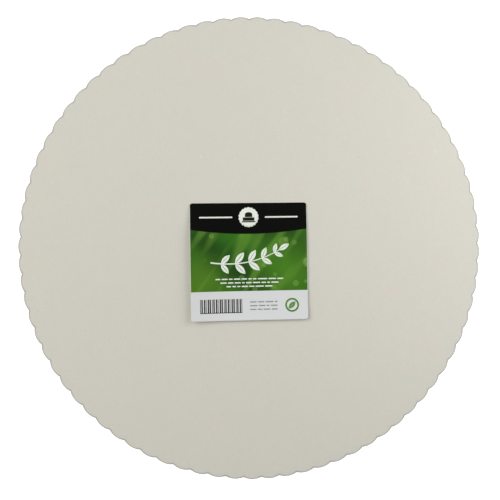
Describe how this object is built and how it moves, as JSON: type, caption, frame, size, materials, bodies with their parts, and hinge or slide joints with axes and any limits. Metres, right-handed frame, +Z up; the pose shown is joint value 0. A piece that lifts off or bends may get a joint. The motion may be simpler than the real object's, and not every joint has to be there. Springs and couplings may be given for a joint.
{
  "type": "cake board",
  "caption": "Round flat cake board of pressed wood pulp with a scalloped rim and a square printed card label on its top face.",
  "frame": {"origin": "centre of the board's underside, where it rests", "axes": "+Z up out of the top face, +Y towards the label's header, +X to the right of the label seen from above"},
  "size_m": [0.2998, 0.2998, 0.0019],
  "materials": {
    "pulp": "matte",
    "card": "satin",
    "black_ink": "satin",
    "green_ink": "satin",
    "white_ink": "satin",
    "grey_ink": "satin"
  },
  "bodies": {
    "root": {"cake_board": "pulp", "label_card": "card", "print_green_field": "green_ink", "print_header": "black_ink", "print_badge": "white_ink", "print_badge_cake": "black_ink", "print_left_rule": "white_ink", "print_right_rule": "white_ink", "print_sprig": "white_ink", "print_caption_1": "white_ink", "print_caption_2": "white_ink", "print_caption_3": "white_ink", "print_bar_block": "black_ink", "print_seal": "green_ink", "print_note_1": "grey_ink", "print_note_2": "grey_ink", "print_note_3": "grey_ink"}
  },
  "joints": []
}
